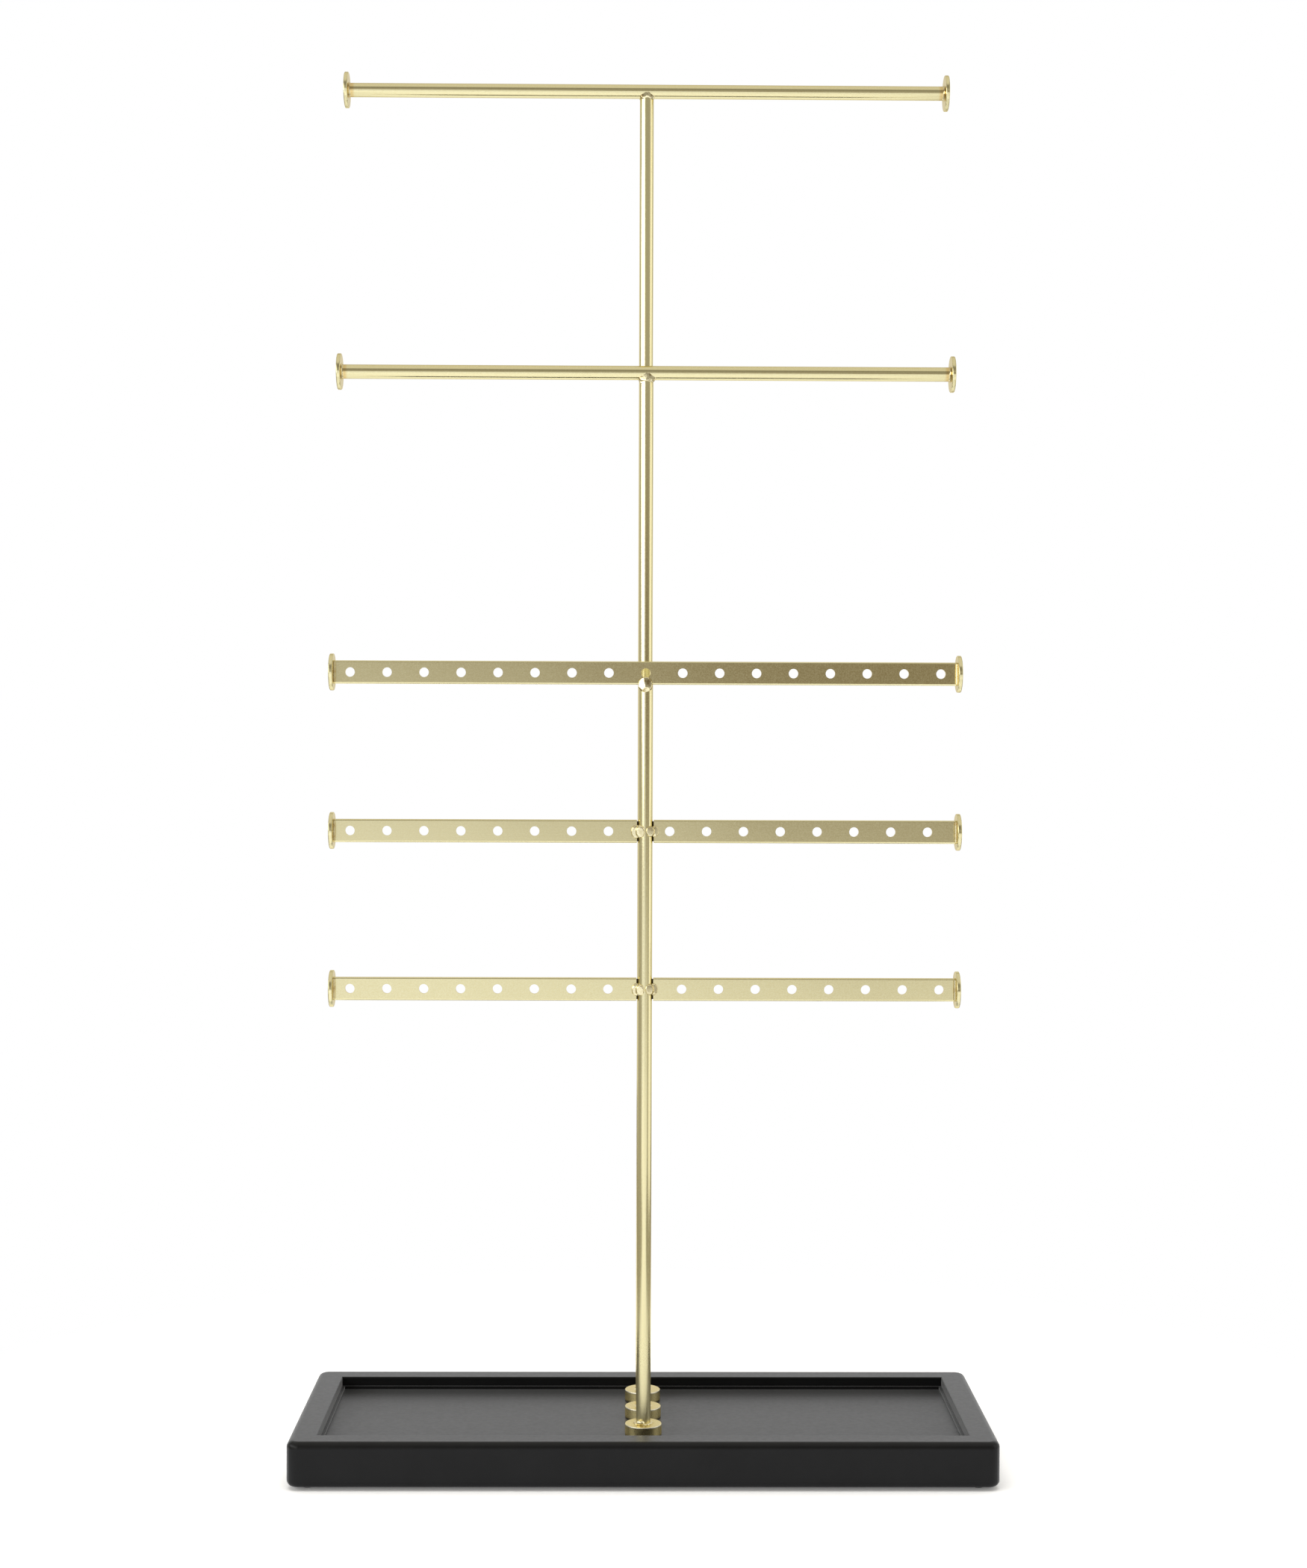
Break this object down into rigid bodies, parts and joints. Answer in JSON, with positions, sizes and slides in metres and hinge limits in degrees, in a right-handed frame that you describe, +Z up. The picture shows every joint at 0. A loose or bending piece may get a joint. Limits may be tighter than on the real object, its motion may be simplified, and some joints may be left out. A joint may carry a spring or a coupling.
{
  "type": "tiered jewelry organizer",
  "caption": "Free-standing jewellery stand: satin brass bars at stepped heights, round rods above drilled flat bars, on three posts in a shallow black tray.",
  "frame": {"origin": "on the table under the middle of the tray, level with the undersides of the rubber pads", "axes": "+X along the bars to the right, -Y to the front where the lowest bars are, +Z up the posts"},
  "size_m": [0.241, 0.095, 0.4924],
  "materials": {
    "satin_brass": "satin",
    "black_painted_wood": "satin",
    "rubber_pad": "matte",
    "steel_screw": "satin"
  },
  "bodies": {
    "root": {"fifth_bar_end_welds": "satin_brass", "fifth_bar_left": "satin_brass", "fifth_bar_left_disc": "satin_brass", "fifth_bar_left_weld": "satin_brass", "fifth_bar_right": "satin_brass", "fifth_bar_right_disc": "satin_brass", "fifth_bar_right_weld": "satin_brass", "fifth_bar_root_welds": "satin_brass", "fourth_bar_end_welds": "satin_brass", "fourth_bar_left": "satin_brass", "fourth_bar_left_disc": "satin_brass", "fourth_bar_left_weld": "satin_brass", "fourth_bar_right": "satin_brass", "fourth_bar_right_disc": "satin_brass", "fourth_bar_right_weld": "satin_brass", "fourth_bar_root_welds": "satin_brass", "front_foot_disc": "satin_brass", "front_foot_weld": "satin_brass", "front_post": "satin_brass", "front_post_screw": "steel_screw", "front_rail": "black_painted_wood", "left_rail": "black_painted_wood", "middle_foot_disc": "satin_brass", "middle_foot_weld": "satin_brass", "middle_post": "satin_brass", "middle_post_screw": "steel_screw", "pad_front_left": "rubber_pad", "pad_front_right": "rubber_pad", "pad_rear_left": "rubber_pad", "pad_rear_right": "rubber_pad", "rear_foot_disc": "satin_brass", "rear_foot_weld": "satin_brass", "rear_post": "satin_brass", "rear_post_screw": "steel_screw", "rear_rail": "black_painted_wood", "right_rail": "black_painted_wood", "second_rod": "satin_brass", "second_rod_end_welds": "satin_brass", "second_rod_left_disc": "satin_brass", "second_rod_right_disc": "satin_brass", "second_rod_weld": "satin_brass", "third_bar": "satin_brass", "third_bar_end_welds": "satin_brass", "third_bar_left_disc": "satin_brass", "third_bar_right_disc": "satin_brass", "third_bar_weld": "satin_brass", "top_rod": "satin_brass", "top_rod_end_welds": "satin_brass", "top_rod_left_disc": "satin_brass", "top_rod_right_disc": "satin_brass", "top_rod_weld": "satin_brass", "tray_floor": "black_painted_wood"}
  },
  "joints": []
}
